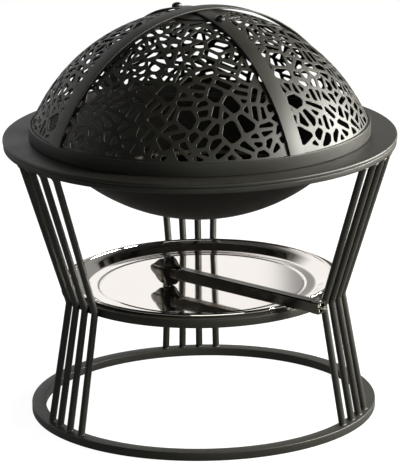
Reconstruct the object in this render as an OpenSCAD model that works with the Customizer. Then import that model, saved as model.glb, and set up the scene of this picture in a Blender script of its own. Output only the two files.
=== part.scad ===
// Fire bowl on a waisted rod stand, with a pierced dome guard, a steel tray and a pair of tongs.
// Millimetres, +Z up. The origin is on the floor, at the centre of the base ring.

/* [Stand rings] */
// Outer radius of the ring on the floor
base_r = 248; // [225:1:275]
// Width of the base ring's bar, across the ring
base_w = 20; // [12:1:28]
// Height of the base ring's bar
base_h = 12; // [6:1:18]
// Outer radius of the ring that carries the tray
middle_r = 202; // [190:1:225]
// Width of the middle ring's bar
middle_w = 22; // [14:1:24]
// Height of the middle ring's bar
middle_h = 12; // [8:1:18]
// Height of the middle ring's top face above the floor
middle_z = 190; // [150:1:215]
// Width of the top ring's bar
top_w = 22; // [14:1:28]
// Height of the top ring's bar
top_h = 8; // [5:1:12]
// Height of the bowl's flange above the floor
rim_z = 405; // [370:1:440]

/* [Stand rods] */
// Diameter of each upright rod
rod_d = 10; // [6:0.5:14]
// Angle between two neighbouring rods of a group, seen from above
rod_step = 6.1; // [5:0.1:8]
// Radius of the rods' centres where they stand on the base ring
rod_foot_r = 238; // [232:1:240]
// Distance from the top ring's edge to the rods' centres
rod_head_inset = 5.8; // [5:0.1:12]

/* [Bowl] */
// Outer radius of the bowl's flange
rim_r = 280; // [270:1:300]
// Thickness of the bowl's sheet
bowl_t = 2.5; // [1.5:0.5:4]
// Height of the flange's turned-down lip
lip_h = 5; // [4:0.5:10]
// Thickness of the flange's turned-down lip
lip_t = 3.5; // [2:0.5:5]
// Radius of the bowl's inside, as part of a ball
bowl_r = 270; // [245:1:300]
// Radius of the bowl's mouth, inside
mouth_r = 219; // [190:1:228]

/* [Fire grate] */
// Radius of the grate's ring, to the middle of its rod
grate_r = 146; // [110:1:165]
// Diameter of the grate ring's rod
grate_ring_d = 8; // [6:0.5:12]
// Diameter of the grate's bars
grate_bar_d = 6; // [4:0.5:10]
// Distance between the grate's bars
grate_pitch = 28; // [18:1:40]

/* [Dome guard] */
// Outer radius of the guard's lower band
band_r = 242.5; // [235:0.5:250]
// Thickness of the band
band_t = 4; // [2:0.5:6]
// Height of the band
band_h = 19; // [10:1:30]
// Outer radius of the pierced dome sheet, as part of a ball
dome_r = 259; // [252:1:275]
// Thickness of the dome sheet
dome_t = 2; // [1:0.5:3]
// Width of the open seam between two dome panels
seam = 0.6; // [0.3:0.1:2]
// Width of each strap over the seams
strap_w = 24; // [16:1:30]
// Thickness of each strap
strap_t = 2.5; // [2:0.5:4]
// Angle of the first strap, seen from above
strap_turn = 29; // [0:0.1:89]
// Radius of the crown disc
crown_r = 40; // [34:1:42]
// Thickness of the crown disc
crown_t = 1.2; // [0.8:0.2:2.4]
// Distance of each crown bolt from the centre
bolt_reach = 54; // [45:1:60]
// Thread diameter of the crown bolts
bolt_d = 6; // [4:0.5:8]
// Diameter of the bolts' domed heads
bolt_head_d = 14; // [11:0.5:18]
// Height of the bolts' domed heads
bolt_head_h = 6.5; // [5:0.5:9]

/* [Pierced pattern] */
// Number of pattern cells over the whole dome
cell_count = 410; // [220:1:450]
// Share of the cells that stay whole; the others are split into slots
whole_share = 0.12; // [0:0.01:1]
// Width of the metal left between two openings
web = 5.75; // [4:0.25:8]
// Usual width of one slot in a split cell
slot_w = 9; // [8:0.5:14]
// How far each cell strays from an even layout, as a share of the cell's width
stray = 0.3; // [0:0.05:0.4]

/* [Tray] */
// Radius of the tray's flat bottom
tray_flat_r = 165; // [150:1:172]
// Radius of the middle of the tray's rolled rim
tray_rim_r = 188.5; // [186:0.5:190]
// Diameter of the rolled rim
tray_rim_d = 5; // [4:0.5:7]
// Thickness of the tray's sheet
tray_t = 1.2; // [0.8:0.2:2]
// Depth of the tray, from its ring's top face down to the upper side of its flat
tray_depth = 7; // [0:0.5:9]
// Radius of the bead pressed into the tray's flat
bead_r = 147; // [120:1:158]
// Width of the pressed bead
bead_w = 5; // [3:0.5:8]

/* [Tongs] */
// Length of the tongs, from the hinge pin to the tips
tong_l = 312; // [280:1:340]
// Height of the tongs' arms, which lie on edge
arm_h = 17; // [15:0.5:20]
// Depth of one arm's channel
arm_depth = 7.5; // [6:0.5:10]
// Thickness of the arms' sheet
arm_t = 1.2; // [0.8:0.2:1.6]
// Length of a scalloped head
head_l = 62; // [50:1:70]
// Height of a scalloped head, before its outline is pointed, tapered and scalloped
head_h = 42; // [30:0.5:46]
// How much a head narrows towards its tip and widens towards its neck
head_taper = 0.45; // [0:0.05:0.5]
// Radius of a head's cupped sheet, as part of a ball
head_r = 64; // [48:1:80]
// Number of scallops along one edge of a head
scallops = 4; // [2:1:6]
// Depth of a scallop, as a share of the head's half height
scallop_depth = 0.2; // [0:0.05:0.5]
// Diameter of the hinge pin
pin_d = 5; // [4:0.5:6]
// Distance of the hinge pin from the stand's axis
tong_reach = 250.2; // [240:0.1:260]
// Direction of the hinge pin from the stand's axis, seen from above
tong_place = -54.6; // [-65:0.1:-45]
// Direction in which the tongs point, seen from above
tong_turn = 134; // [130:0.5:145]

/* [Hidden] */
$fn = 96;
// Clearance between pieces that lie on each other but come apart
seat = 0.3;
// Clearance on the radius of a pin in its hole
run = 0.05;
// Hairline left between two pieces that are fastened together
hair = 0.1;
// Small length that carries one solid through another
eps = 1;

// Stand. The flange stands a little past the top ring, all round.
rim_overhang = 1;
top_r = rim_r - rim_overhang;
top_z = rim_z - lip_h - seat;
// A pressed bend is a little thicker than its rod
bend_swell = 1.05;
bend_r = bend_swell * rod_d / 2;
// Ends of a rod and the middle of its bend, as radius and height, and the angles of its two legs
foot = [rod_foot_r, base_h];
head = [top_r - rod_head_inset, top_z - top_h];
waist = [middle_r + bend_r, middle_z - middle_h / 2];
lean_low = atan2(foot[1] - waist[1], foot[0] - waist[0]);
lean_high = atan2(head[1] - waist[1], head[0] - waist[0]);
group_turn = [90, 210, 330];
rods_per_group = 4;

// Bowl: the ball's centre lies above the mouth
bowl_z = rim_z - bowl_t + sqrt(pow(bowl_r, 2) - pow(mouth_r, 2));

// Guard: the ball's centre is set by the band, so the sheet ends inside the band's top edge
band_z = rim_z + seat;
band_top = band_z + band_h;
sheet_sink = 1.8;
sheet_z = band_top - sheet_sink;
dome_z = sheet_z - sqrt(pow(dome_r, 2) - pow(band_r - band_t - run, 2));
disc_in = dome_r + seat;
disc_out = disc_in + crown_t;
// The panels' tips end at this radius, under the crown disc
tip_r = 22;
// Both straps land on the band's top edge. The second one crosses over the first.
strap_foot_r = band_r - band_t + 2 * hair;
strap_foot_z = band_top + hair;
strap_apex = [dome_z + disc_out + seat, dome_z + disc_out + 2 * seat + strap_t];
bolt_tilt = asin(bolt_reach / disc_out);
// Height of the domed part of a bolt's head, and of a nut
bolt_dome_h = 3.5;
nut_h = 5;
// A nut's radius over its corners is about the thread's diameter
nut_r = bolt_d;
nut_low = dome_r - dome_t - nut_h - hair;
// How far a bolt's end stands past its nut
bolt_tail = 2;
// Distance from the dome's centre to the first strap's outside, along a bolt
strap_rise = strap_apex[0] - strap_inner(strap_apex[0]) - dome_z;
head_low = strap_rise * cos(bolt_tilt) + hair
    + sqrt(pow(strap_inner(strap_apex[0]) + strap_t, 2) - pow(strap_rise * sin(bolt_tilt), 2));

// Tray
tray_z = middle_z - tray_depth;
rim_lift = middle_z + seat + tray_rim_d / 2;
// The wall rises just inside the middle ring, to a narrow shelf that lies over the ring
wall_play = 1.5;
tray_wall_r = middle_r - middle_w - wall_play;
shelf_z = middle_z + seat + tray_t;
// The bead is pressed down into the flat, as an arc with the sheet's own thickness all along
bead_depth = 1;
bead_arc_r = (pow(bead_w / 2, 2) + pow(bead_depth, 2)) / (2 * bead_depth);

// Grate: its ring touches the bowl's inside
grate_z = bowl_z - sqrt(pow(bowl_r - grate_ring_d / 2 - seat, 2) - pow(grate_r, 2));

// Tongs lie on the tray's rim and rest their heads on its flat, which tips them a little. They cross the
// rim at some distance from the pin, as they point a little past the stand's axis.
head_x = tong_l - head_l / 2;
// Above 1 a head's oval is more pointed, below 1 it is squarer
head_power = 1.35;
head_points = 96;
head_outline = [for (i = [0:head_points - 1]) head_edge(360 * i / head_points)];
head_reach = max([for (p = head_outline) p[1]]);
tong_miss = 180 + tong_place - tong_turn;
rim_cross = tong_reach * cos(tong_miss) - sqrt(pow(tray_rim_r, 2) - pow(tong_reach * sin(tong_miss), 2));
rim_top = rim_lift + tray_rim_d / 2;
tong_slope = (rim_top - tray_z - (head_reach - arm_h / 2)) / (head_x - rim_cross);
arm_z = rim_top + seat + arm_h / 2 + rim_cross * tong_slope;
arm_gap = 1;
arm_out = arm_gap / 2 + arm_depth;
// The ears clear the other arm's web, and a notch parts them from the channel's sides
ear_play = 0.4;
ear_notch = 1.5;
ear_r = arm_out - arm_t - ear_play;
side_start = ear_r + ear_notch;
head_sag = head_r - sqrt(pow(head_r, 2) - pow(head_l / 2, 2));
// The head's ball has its centre on the far side of the gap between the arms
head_y = arm_gap / 2 + head_sag - head_r;
// The channel ends where its outside meets the cupped head, or at the head's middle if the cup is shallower
arm_end = head_x - sqrt(max(0, pow(head_r, 2) - pow(arm_out - head_y, 2)));
pin_head_d = 1.6 * pin_d;
pin_head_h = 1;
// Spring: radius to the middle of its wire, wire diameter, room at both ends, length of its legs
spring_r = 3.6;
spring_wire = 1.4;
spring_gap = 0.4;
spring_leg = 22;
// Heights of the ears' inner faces. The far arm's ears lie between the near arm's.
ear_near_z = arm_h / 2 - arm_t;
ear_far_z = ear_near_z - arm_t - seat;
// Tab: thickness, width, length, how far it stands out past the pin, and how far it slides
lock_t = 2;
lock_w = 10;
lock_l = 44;
lock_out = 16;
lock_travel = 8;

// Pattern helpers. A number between 0 and 1 that depends only on i and k.
function chance(i, k) = let (s = 1000 * sin(137.31 * i + 71.7 * k)) s - floor(s);
// The part of a convex outline on the side of a line where n * point is d or more
function clip(pts, n, d) = [
    for (i = [0:1:len(pts) - 1])
        let (a = pts[i], b = pts[(i + 1) % len(pts)], fa = n * a - d, fb = n * b - d)
            each concat(
                fa >= 0 ? [a] : [],
                (fa >= 0) != (fb >= 0) ? [a + (b - a) * fa / (fa - fb)] : []
            )
];
function clip_all(pts, cuts, i = 0) =
    i == len(cuts) || len(pts) < 3 ? pts : clip_all(clip(pts, cuts[i][0], cuts[i][1]), cuts, i + 1);
function area(pts) = len(pts) < 3 ? 0 :
    0.5 * sum([for (i = [0:len(pts) - 1]) cross(pts[i], pts[(i + 1) % len(pts)])]);
function sum(v, i = 0) = i == len(v) ? 0 : v[i] + sum(v, i + 1);
function unit(v) = v / norm(v);

// Cells are spread over the dome in a golden-angle spiral, each one moved a little.
// The spiral runs from the crown to a little below the band, so edge cells keep their size.
pattern_low = 0.33;
golden = 137.508;
cell_w = sqrt(2 * PI * pow(dome_r, 2) * (1 - pattern_low) / cell_count);
// A cell's neighbours are looked for within this many cell widths
neighbour_reach = 2.6;
function site(i) =
    let (
        down = acos(1 - (1 - pattern_low) * (i + 0.5) / cell_count)
            + stray * (chance(i, 1) - 0.5) * 2 * cell_w / dome_r * 180 / PI,
        round = golden * i
            + stray * (chance(i, 2) - 0.5) * 2 * cell_w / dome_r * 180 / PI / max(sin(down), 0.1)
    )
        [down, round];
function outward(s) = [sin(s[0]) * cos(s[1]), sin(s[0]) * sin(s[1]), cos(s[0])];
// A line in a cell's own plane, from a limit on points of the ball, moved in by some margin
function local_cut(s, n, d, margin) =
    let (
        e1 = [cos(s[0]) * cos(s[1]), cos(s[0]) * sin(s[1]), -sin(s[0])],
        e2 = [-sin(s[1]), cos(s[1]), 0],
        m = [n * e1, n * e2],
        size = norm(m)
    )
        [m / size, (d - dome_r * (n * outward(s))) / size + margin];
sites = [for (i = [0:cell_count - 1]) site(i)];
dirs = [for (s = sites) outward(s)];
// Straight-sided outline of one cell, inset by half a web
function cell(i, walls) =
    let (
        s = sites[i],
        near = cos(neighbour_reach * cell_w / dome_r * 180 / PI),
        cuts = [
            for (j = [0:cell_count - 1])
                if (j != i && dirs[i] * dirs[j] > near) local_cut(s, dirs[i] - dirs[j], 0, web / 2)
        ],
        w = 2 * cell_w
    )
        clip_all(
            [[-w, -w], [w, -w], [w, w], [-w, w]],
            concat(cuts, [for (q = walls) local_cut(s, q[0], q[1], 0)])
        );
// A cell stays whole or is split into parallel slots, in a direction of its own
function slots(i, walls) =
    let (
        pts = cell(i, walls),
        a = 180 * chance(i, 3),
        n = [cos(a), sin(a)],
        reach = len(pts) < 3 ? [0] : [for (p = pts) n * p],
        low = min(reach),
        span = max(reach) - low + web,
        count = chance(i, 4) < whole_share ? 1 : max(1, round(span / (slot_w + web))),
        pitch = span / count
    )
        [
            for (k = [0:count - 1])
                let (q = clip(clip(pts, n, low + k * pitch), -n, -(low + (k + 1) * pitch - web)))
                    if (area(q) > smallest_slot) q
        ];
// Openings with less area than this are left out
smallest_slot = 36;
// The slots start a little way in under the straps, just outside the crown disc and just above the band
strap_lap = 3;
crown_plain = 4;
strap_margin = strap_w / 2 - strap_lap;
crown_margin = crown_r + crown_plain;
band_margin = 2.2;

// Stand

module bar_ring(outer, width, low, height) {
    rotate_extrude() translate([outer - width, low]) square([width, height]);
}

function rod_angle(g, i) = g + (i - (rods_per_group - 1) / 2) * rod_step;

module base_ring() {
    color("#3b3b38") bar_ring(base_r, base_w, 0, base_h);
}

module middle_ring() {
    color("#3b3b38") bar_ring(middle_r, middle_w, middle_z - middle_h, middle_h);
}

module top_ring() {
    color("#3b3b38") bar_ring(top_r, top_w, top_z - top_h, top_h);
}

// One upright rod in the plane y = 0. Two straight legs lean out from the bend at the middle ring.
module rod() {
    cut = 8 * rod_d;
    difference() {
        union() {
            leg(lean_low, norm(waist - foot));
            leg(lean_high, norm(waist - head));
            translate([waist[0], 0, waist[1]]) sphere(r = bend_r);
        }
        translate([foot[0] - cut / 2, -cut / 2, foot[1] - cut]) cube(cut);
        translate([head[0] - cut / 2, -cut / 2, head[1]]) cube(cut);
    }
}

// A straight length of rod from the waist, towards the angle way, and a little longer than length
module leg(way, length) {
    translate([waist[0], 0, waist[1]]) rotate([0, 90 - way, 0]) cylinder(d = rod_d, h = length + rod_d);
}

module rod_at(group, i) {
    color("#3f3f3b") rotate([0, 0, rod_angle(group_turn[group], i)]) rod();
}

// Tray. One pressing in two nodes: its flat with the bead, and its wall with the rolled rim.

module tray() {
    color("#d9d6d2") rotate_extrude() difference() {
        union() {
            translate([0, tray_z - tray_t]) square([tray_flat_r, tray_t]);
            intersection() {
                translate([bead_r, tray_z - bead_depth + bead_arc_r]) circle(r = bead_arc_r + tray_t);
                translate([0, tray_z - bead_depth - tray_t]) square([tray_flat_r, bead_depth + tray_t / 2]);
            }
        }
        translate([bead_r, tray_z - bead_depth + bead_arc_r]) circle(r = bead_arc_r);
    }
}

module tray_rim() {
    color("#d9d6d2") rotate_extrude() {
        polygon([
            [tray_flat_r, tray_z - tray_t],
            [tray_wall_r, shelf_z - tray_t],
            [tray_rim_r, shelf_z - tray_t],
            [tray_rim_r, shelf_z],
            [tray_wall_r - tray_t / 2, shelf_z],
            [tray_flat_r, tray_z]
        ]);
        translate([tray_rim_r, rim_lift]) circle(d = tray_rim_d);
    }
}

// Bowl. One pressing in two nodes: the dish, and the flange with its lip.

module bowl() {
    color("#383835") rotate_extrude() difference() {
        translate([0, bowl_z]) circle(r = bowl_r + bowl_t);
        translate([0, bowl_z]) circle(r = bowl_r);
        translate([-2 * rim_r, rim_z - bowl_t]) square([4 * rim_r, 3 * rim_r]);
        translate([-2 * rim_r, 0]) square([2 * rim_r, 3 * rim_r]);
    }
}

module bowl_flange() {
    color("#383835") rotate_extrude() {
        translate([mouth_r, rim_z - bowl_t]) square([rim_r - mouth_r, bowl_t]);
        translate([rim_r - lip_t, rim_z - lip_h]) square([lip_t, lip_h]);
    }
}

module fire_grate() {
    bars = floor(grate_r / grate_pitch);
    color("#4a4640") translate([0, 0, grate_z]) {
        rotate_extrude() translate([grate_r, 0]) circle(d = grate_ring_d);
        for (i = [-bars:bars]) {
            half = sqrt(pow(grate_r, 2) - pow(i * grate_pitch, 2));
            translate([i * grate_pitch, -half, 0]) rotate([-90, 0, 0])
                cylinder(d = grate_bar_d, h = 2 * half);
        }
    }
}

// Guard

module guard_band() {
    color("#454542") bar_ring(band_r, band_t, band_z, band_h);
}

// One quarter of the pierced dome, between two straps
module guard_panel(k) {
    turn = strap_turn + 90 * k;
    sides = [[cos(turn), sin(turn), 0], [-sin(turn), cos(turn), 0]];
    walls = [[sides[0], strap_margin], [sides[1], strap_margin]];
    color("#4a4a46") translate([0, 0, dome_z]) difference() {
        intersection() {
            difference() {
                sphere(r = dome_r);
                sphere(r = dome_r - dome_t);
            }
            rotate([0, 0, turn])
                translate([seam / 2, seam / 2, sheet_z - dome_z]) cube([dome_r, dome_r, dome_r]);
        }
        cylinder(r = tip_r, h = 2 * dome_r);
        for (i = [0:cell_count - 1])
            if (dirs[i] * sides[0] * dome_r > -cell_w && dirs[i] * sides[1] * dome_r > -cell_w)
                rotate([0, sites[i][0], sites[i][1]])
                    translate([0, 0, dome_r - 2 * dome_t])
                        for (q = slots(i, cell_walls(i, walls)))
                            linear_extrude(3 * dome_t) polygon(q);
        translate([0, 0, -dome_z]) bolt_places() cylinder(r = bolt_d / 2 + seat, h = 2 * dome_r);
    }
}
// Limits of a cell: the panel's two sides, the crown and the band
function cell_walls(i, walls) =
    concat(walls, [
        [unit([dirs[i][0], dirs[i][1], 0]), crown_margin],
        [[0, 0, 1], band_top - dome_z + band_margin]
    ]);

// A strap bent to an arc over the crown, ending on the band's top edge. Its inside passes through the
// apex height and the foot, which sets the arc's radius.
function strap_inner(apex) =
    let (drop = apex - strap_foot_z) (pow(strap_foot_r, 2) + pow(drop, 2)) / (2 * drop);
module strap(apex, turn) {
    inner = strap_inner(apex);
    rotate([0, 0, turn]) intersection() {
        translate([0, strap_w / 2, apex - inner]) rotate([90, 0, 0]) difference() {
            cylinder(r = inner + strap_t, h = strap_w);
            translate([0, 0, -eps]) cylinder(r = inner, h = strap_w + 2 * eps);
        }
        translate([-rim_r, -strap_w, strap_foot_z]) cube([2 * rim_r, 2 * strap_w, rim_r]);
    }
}

module strap_under() {
    color("#474743") difference() {
        strap(strap_apex[0], strap_turn + 90);
        bolt_places() cylinder(r = bolt_d / 2 + seat, h = 2 * dome_r);
    }
}

module strap_over() {
    color("#474743") strap(strap_apex[1], strap_turn);
}

module crown_disc() {
    color("#4a4a46") difference() {
        translate([0, 0, dome_z]) intersection() {
            difference() {
                sphere(r = disc_out);
                sphere(r = disc_in);
            }
            cylinder(r = crown_r, h = 2 * dome_r);
        }
        bolt_places() cylinder(r = bolt_d / 2 + seat, h = 2 * dome_r);
    }
}

// The two bolts stand square to the dome, on the first strap
module bolt_places() {
    for (side = [-1, 1])
        translate([0, 0, dome_z]) rotate([0, 0, strap_turn + 90]) rotate([0, side * bolt_tilt, 0]) children();
}

module crown_bolts() {
    cap_r = (pow(bolt_head_d / 2, 2) + pow(bolt_dome_h, 2)) / (2 * bolt_dome_h);
    color("#1f1f1e") bolt_places() {
        translate([0, 0, nut_low - bolt_tail]) cylinder(d = bolt_d, h = head_low - nut_low + bolt_tail + eps);
        translate([0, 0, head_low]) cylinder(d = bolt_head_d, h = bolt_head_h - bolt_dome_h);
        translate([0, 0, head_low + bolt_head_h - bolt_dome_h]) intersection() {
            translate([0, 0, bolt_dome_h - cap_r]) sphere(r = cap_r);
            cylinder(d = bolt_head_d, h = bolt_dome_h);
        }
    }
}

module crown_nuts() {
    color("#55554f") bolt_places() translate([0, 0, nut_low]) difference() {
        cylinder(r = nut_r, h = nut_h, $fn = 6);
        translate([0, 0, -eps]) cylinder(r = bolt_d / 2 + run, h = nut_h + 2 * eps);
    }
}

// Tongs, drawn with the hinge pin at the origin and the heads along +x

module tongs_place() {
    translate([tong_reach * cos(tong_place), tong_reach * sin(tong_place), arm_z])
        rotate([0, asin(tong_slope), tong_turn]) children();
}

// One arm is one pressing in two nodes. This one, on the +y side, is its web, which runs out into a
// cupped head.
module tong_arm() {
    translate([-ear_r, arm_out - arm_t, -arm_h / 2]) cube([arm_end + ear_r, arm_t, arm_h]);
    tong_head();
}

// The channel's upper and lower side, up to the head, and the ears that reach over the pin at the
// height ear_z
module tong_sides(ear_z) {
    difference() {
        for (side = [0, 1]) mirror([0, 0, side]) {
            translate([side_start, arm_gap / 2, arm_h / 2 - arm_t])
                cube([arm_end - side_start, arm_depth - arm_t, arm_t]);
            translate([0, 0, ear_z]) cylinder(r = ear_r, h = arm_t);
            translate([-ear_r, 0, ear_z]) cube([2 * ear_r, arm_out - arm_t, arm_t]);
        }
        translate([0, 0, -arm_h]) cylinder(r = pin_d / 2 + run, h = 2 * arm_h);
        translate([head_x, head_y, 0]) sphere(r = head_r);
    }
}

// A cupped head with a scalloped edge, bulging towards +y
module tong_head() {
    intersection() {
        translate([head_x, head_y, 0]) difference() {
            sphere(r = head_r);
            sphere(r = head_r - arm_t);
        }
        translate([head_x, arm_gap / 2, 0]) rotate([-90, 0, 0])
            linear_extrude(head_r) polygon(head_outline);
    }
}
// Edge of a head: a pointed oval with round scallops along its upper and lower sides, widest near its neck
function head_edge(a) =
    let (wave = 1 - scallop_depth * pow(sin(a), 2) * (1 - abs(sin(scallops * a))),
         narrowing = 1 - head_taper * shaped(cos(a)))
        [head_l / 2 * shaped(cos(a)), head_h / 2 * wave * narrowing * shaped(sin(a))];
// A sine or cosine raised to a power, which keeps its sign
function shaped(v) = sign(v) * pow(abs(v), head_power);

module tong_arm_near() {
    color("#6b6a63") tongs_place() tong_arm();
}

module tong_sides_near() {
    color("#6b6a63") tongs_place() tong_sides(ear_near_z);
}

module tong_arm_far() {
    color("#6b6a63") tongs_place() mirror([0, 1, 0]) tong_arm();
}

module tong_sides_far() {
    color("#6b6a63") tongs_place() mirror([0, 1, 0]) tong_sides(ear_far_z);
}

module tong_pin() {
    color("#8a8983") tongs_place() {
        translate([0, 0, -arm_h / 2 - 2 * hair]) cylinder(d = pin_d, h = arm_h + 4 * hair);
        for (side = [0, 1]) mirror([0, 0, side])
            translate([0, 0, arm_h / 2 + hair]) cylinder(d = pin_head_d, h = pin_head_h);
    }
}

// A coil round the pin with a leg against each arm
module tong_spring() {
    turns_h = ear_far_z - lock_t / 2 - 2 * spring_gap;
    low = lock_t / 2 + spring_gap;
    leg_end = arm_out - arm_t - spring_wire / 2 - hair;
    color("#8a8983") tongs_place() {
        translate([0, 0, low]) difference() {
            cylinder(r = spring_r + spring_wire / 2, h = turns_h);
            translate([0, 0, -eps]) cylinder(r = spring_r - spring_wire / 2, h = turns_h + 2 * eps);
        }
        for (side = [-1, 1])
            translate([0, side * spring_r, low + turns_h / 2 + side * (turns_h - spring_wire) / 2])
                rotate([0, 0, side * atan2(leg_end - spring_r, spring_leg)])
                    rotate([0, 90, 0]) cylinder(d = spring_wire, h = norm([spring_leg, leg_end - spring_r]));
    }
}

// A flat tab between the arms, slotted over the pin, with a hole to hang the tongs by
module tong_lock() {
    slot_r = pin_d / 2 + seat;
    hole_r = 2.4;
    color("#8a8983") tongs_place() translate([0, 0, -lock_t / 2]) difference() {
        union() {
            translate([-lock_out + lock_w / 2, -lock_w / 2, 0]) cube([lock_l - lock_w / 2, lock_w, lock_t]);
            translate([-lock_out + lock_w / 2, 0, 0]) cylinder(d = lock_w, h = lock_t);
        }
        translate([0, 0, -eps]) {
            cylinder(r = slot_r, h = lock_t + 2 * eps);
            translate([lock_travel, 0, 0]) cylinder(r = slot_r, h = lock_t + 2 * eps);
            translate([0, -slot_r, 0]) cube([lock_travel, 2 * slot_r, lock_t + 2 * eps]);
            translate([-lock_out + lock_w / 2, 0, 0]) cylinder(r = hole_r, h = lock_t + 2 * eps);
        }
    }
}

base_ring();
middle_ring();
top_ring();
rod_at(0, 0);  // rod_back_1
rod_at(0, 1);  // rod_back_2
rod_at(0, 2);  // rod_back_3
rod_at(0, 3);  // rod_back_4
rod_at(1, 0);  // rod_left_1
rod_at(1, 1);  // rod_left_2
rod_at(1, 2);  // rod_left_3
rod_at(1, 3);  // rod_left_4
rod_at(2, 0);  // rod_right_1
rod_at(2, 1);  // rod_right_2
rod_at(2, 2);  // rod_right_3
rod_at(2, 3);  // rod_right_4
tray();
tray_rim();
bowl();
bowl_flange();
fire_grate();
guard_band();
guard_panel(0);  // guard_panel_1
guard_panel(1);  // guard_panel_2
guard_panel(2);  // guard_panel_3
guard_panel(3);  // guard_panel_4
strap_under();
strap_over();
crown_disc();
crown_bolts();
crown_nuts();
tong_arm_near();
tong_sides_near();
tong_arm_far();
tong_sides_far();
tong_pin();
tong_spring();
tong_lock();
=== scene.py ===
import bpy
import numpy as np
from mathutils import Matrix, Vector
from mathutils.geometry import delaunay_2d_cdt


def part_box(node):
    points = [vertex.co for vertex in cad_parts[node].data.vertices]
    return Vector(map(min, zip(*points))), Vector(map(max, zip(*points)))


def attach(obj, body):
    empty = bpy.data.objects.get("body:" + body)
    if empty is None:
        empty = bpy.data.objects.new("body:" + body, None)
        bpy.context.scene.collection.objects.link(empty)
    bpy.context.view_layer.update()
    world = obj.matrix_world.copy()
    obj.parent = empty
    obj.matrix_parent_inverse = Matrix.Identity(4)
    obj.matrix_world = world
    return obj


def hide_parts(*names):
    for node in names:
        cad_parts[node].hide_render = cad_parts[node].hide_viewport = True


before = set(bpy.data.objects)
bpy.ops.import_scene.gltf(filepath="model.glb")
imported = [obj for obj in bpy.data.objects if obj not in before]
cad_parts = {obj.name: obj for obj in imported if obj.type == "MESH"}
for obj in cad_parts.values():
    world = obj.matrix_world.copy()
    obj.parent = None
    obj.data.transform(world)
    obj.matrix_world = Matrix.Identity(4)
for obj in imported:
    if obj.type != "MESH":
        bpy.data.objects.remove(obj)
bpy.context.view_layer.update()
mm = 0.001
degree = np.pi / 180
samePlace = 1e-7  # points nearer to each other than this, in metres, are one
print("frame loaded,", len(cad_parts), "nodes")


# numbers and outlines

def hexColour(code):
    # an sRGB hex value as linear light
    s = np.array([int(code[i:i + 2], 16) for i in (1, 3, 5)]) / 255
    linear = np.where(s <= 0.04045, s / 12.92, ((s + 0.055) / 1.055) ** 2.4)
    return (*linear.tolist(), 1.0)


def nodeBox(*names):
    # the low and the high corner of the box round one or more solids
    boxes = np.array([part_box(name) for name in names])
    return boxes[:, 0].min(0), boxes[:, 1].max(0)


def unit(v):
    # each vector divided by its length
    return v / np.linalg.norm(v, axis=-1, keepdims=True)


def fillet(outline, radius, steps=6, closed=True):
    # Each corner becomes the round arc that touches both of its sides: a rational curve of the second
    # degree, whose middle point weighs the sine of half the corner's angle.
    toBefore, toAfter = np.roll(outline, 1, 0) - outline, np.roll(outline, -1, 0) - outline
    shortest = np.minimum(np.linalg.norm(toBefore, axis=1), np.linalg.norm(toAfter, axis=1))
    a, b = unit(toBefore), unit(toAfter)
    half = np.arccos(np.clip((a * b).sum(1), -1, 1)) / 2
    reach = np.minimum(radius * np.ones(len(outline)) / np.tan(half), 0.48 * shortest)
    if not closed:
        reach[[0, -1]] = 0
    s = np.linspace(0, 1, steps)[None, :, None]
    weights = (1 - s) ** 2, 2 * s * (1 - s) * np.sin(half)[:, None, None], s ** 2
    corners = outline + a * reach[:, None], outline, outline + b * reach[:, None]
    points = sum(w * c[:, None] for w, c in zip(weights, corners)) / sum(weights)
    points = points.reshape(-1, outline.shape[1])
    gap = np.linalg.norm(points - np.roll(points, 1, 0), axis=1)
    keep = gap > samePlace
    if not closed:
        keep[0] = True
    return points[keep]


def arc(centre, radius, start, end, count):
    # points on a circle, from one angle to another
    turn = np.linspace(start, end, count)[:, None]
    return np.array(centre) + radius * np.hstack([np.cos(turn), np.sin(turn)])


def turnAboutZ(points, angle):
    # anticlockwise, seen from above
    c, s = np.cos(angle), np.sin(angle)
    return points @ np.array([[c, s, 0], [-s, c, 0], [0, 0, 1]])


def leanAboutY(points, angle):
    # a positive angle lowers the end towards positive X
    c, s = np.cos(angle), np.sin(angle)
    return points @ np.array([[c, 0, -s], [0, 1, 0], [s, 0, c]])


# meshes

def gridFaces(rows, columns, closedRows=False, closedColumns=True):
    # four-sided faces between neighbouring points of a grid, facing right of the row direction
    i, j = np.meshgrid(np.arange(rows if closedRows else rows - 1),
                       np.arange(columns if closedColumns else columns - 1), indexing="ij")
    i, j = i.ravel(), j.ravel()
    iNext, jNext = (i + 1) % rows, (j + 1) % columns
    return np.stack([i * columns + j, i * columns + jNext, iNext * columns + jNext, iNext * columns + j], 1)


def weld(points, quads):
    # points that coincide become one, and a quad with two equal corners becomes a triangle
    keys = np.round(points / samePlace).astype(np.int64)
    _, first, same = np.unique(keys, axis=0, return_index=True, return_inverse=True)
    quads = same.ravel()[quads]
    double = quads == np.roll(quads, -1, 1)
    whole, folded = double.sum(1) == 0, double.sum(1) == 1
    which = double[folded].argmax(1)
    triangles = np.stack([quads[folded, (which + k) % 4] for k in (1, 2, 3)], 1)
    return points[first], [*quads[whole].tolist(), *triangles.tolist()]


def lathe(profile, around=288, closed=False, radiusAt=None):
    # A profile of radius and height is turned about Z. Its solid side is on the left of its direction.
    turn = np.arange(around) * 2 * np.pi / around
    radius = profile[:, :1] * (np.ones(around) if radiusAt is None else radiusAt(turn))
    points = np.stack([radius * np.cos(turn), radius * np.sin(turn), profile[:, 1:] + 0 * radius], 2)
    return weld(points.reshape(-1, 3), gridFaces(len(profile), around, closed))


def sweep(path, side, up, section, closed=False):
    # A closed outline is carried along a path: point = path + outline x times side + outline y times up.
    points = path[:, None] + section[None, :, :1] * side[:, None] + section[None, :, 1:] * up[:, None]
    count = len(section)
    faces = gridFaces(len(path), count, closed).tolist()
    if not closed:
        faces += [list(range(count))[::-1], [len(path) * count - count + k for k in range(count)]]
    return points.reshape(-1, 3), faces


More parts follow.
